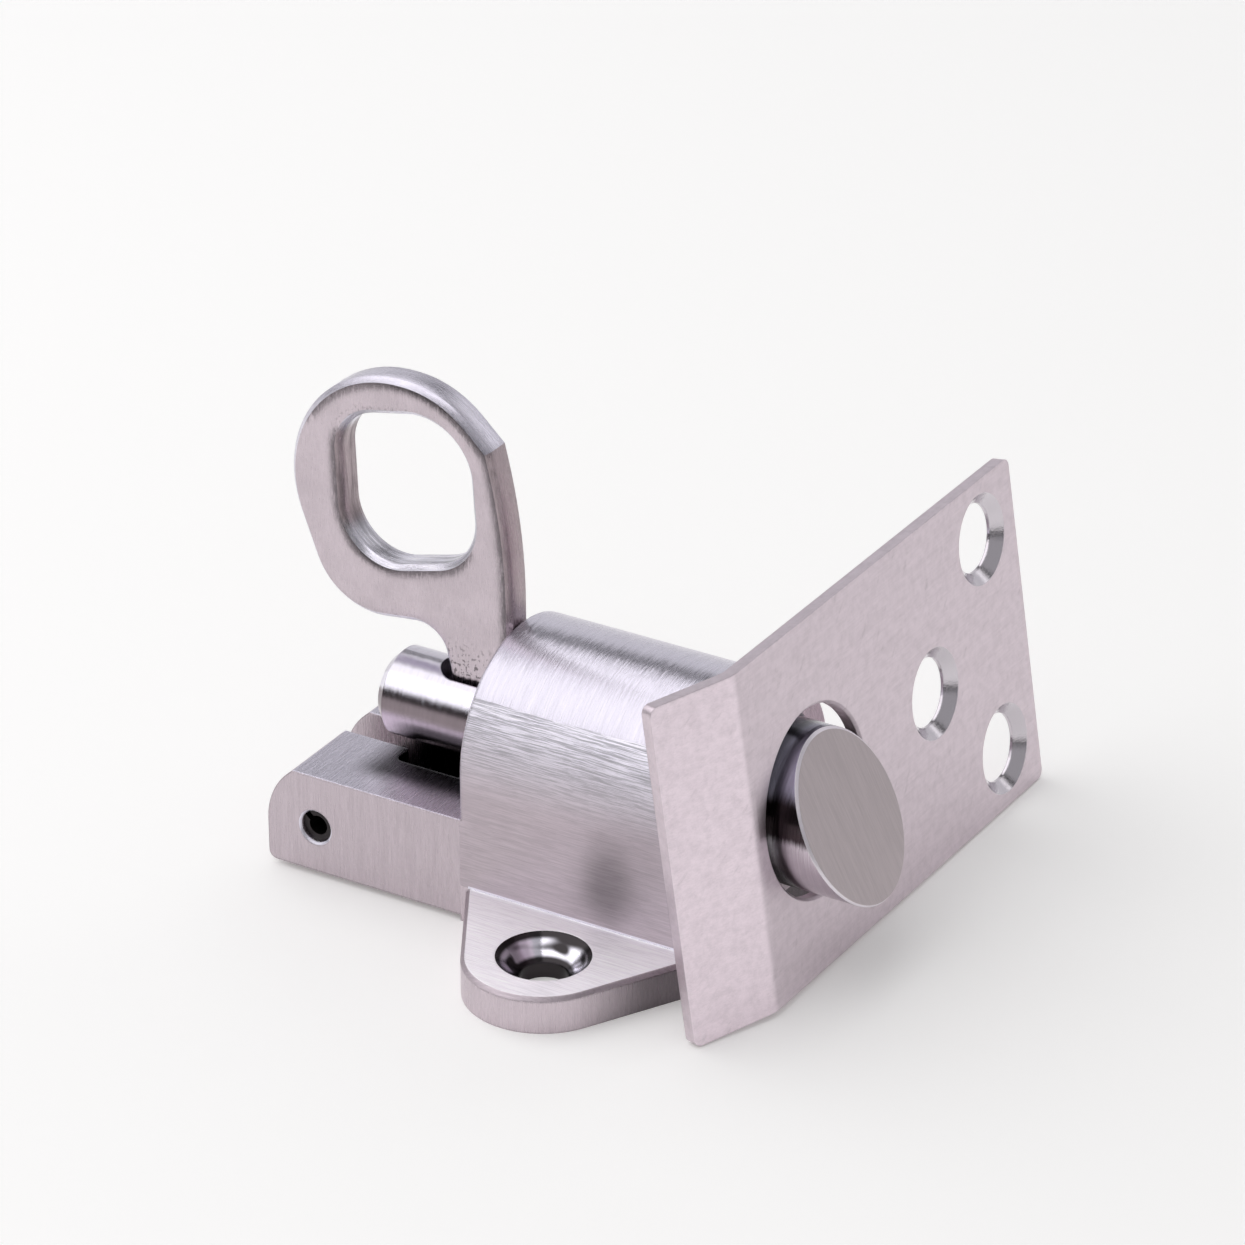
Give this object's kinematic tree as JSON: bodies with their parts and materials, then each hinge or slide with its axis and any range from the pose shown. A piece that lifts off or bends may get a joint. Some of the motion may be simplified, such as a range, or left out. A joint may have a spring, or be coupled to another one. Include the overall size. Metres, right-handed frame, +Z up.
{
  "type": "spring door bolt",
  "caption": "Stainless spring door bolt: arched housing with screw ears, slanted sprung bolt, pull ring on its rod, and a bent strike plate standing over the nose.",
  "frame": {"origin": "on the mounting face, midway between the two screw holes of the ears", "axes": "+X along the bolt towards its nose, +Z up out of the mounting face, +Y across towards the long side of the strike plate"},
  "size_m": [0.0581, 0.0612, 0.0449],
  "materials": {
    "brushed_body": "brushed stainless steel, grain along the bolt",
    "brushed_plate": "brushed stainless steel sheet",
    "brushed_ring": "brushed stainless steel, grain upright",
    "polished_bolt": "turned stainless steel, polished sides and a ground end face",
    "pin_steel": "plain ground steel",
    "spring_steel": "dark spring steel"
  },
  "bodies": {
    "mounted_body": {"body": "brushed_body", "roll_pin": "spring_steel", "return_spring": "spring_steel", "strike_plate": "brushed_plate"},
    "sliding_bolt": {"bolt": "polished_bolt", "guide_pin": "pin_steel", "ring_pin": "pin_steel"},
    "ring": {"pull_ring": "brushed_ring"}
  },
  "joints": [
    {"name": "bolt_slide", "type": "slide", "parent": "mounted_body", "child": "sliding_bolt", "axis": [-1, 0, 0], "range_m": [0, 0.009], "stiffness_N_per_m": 800, "springref_m": -0.006, "deforming": ["return_spring"]},
    {"name": "ring_swing", "type": "hinge", "parent": "sliding_bolt", "child": "ring", "pos_m": [-0.01535, 0, 0.0145], "axis": [0, -1, 0], "range_deg": [0, 8]}
  ]
}
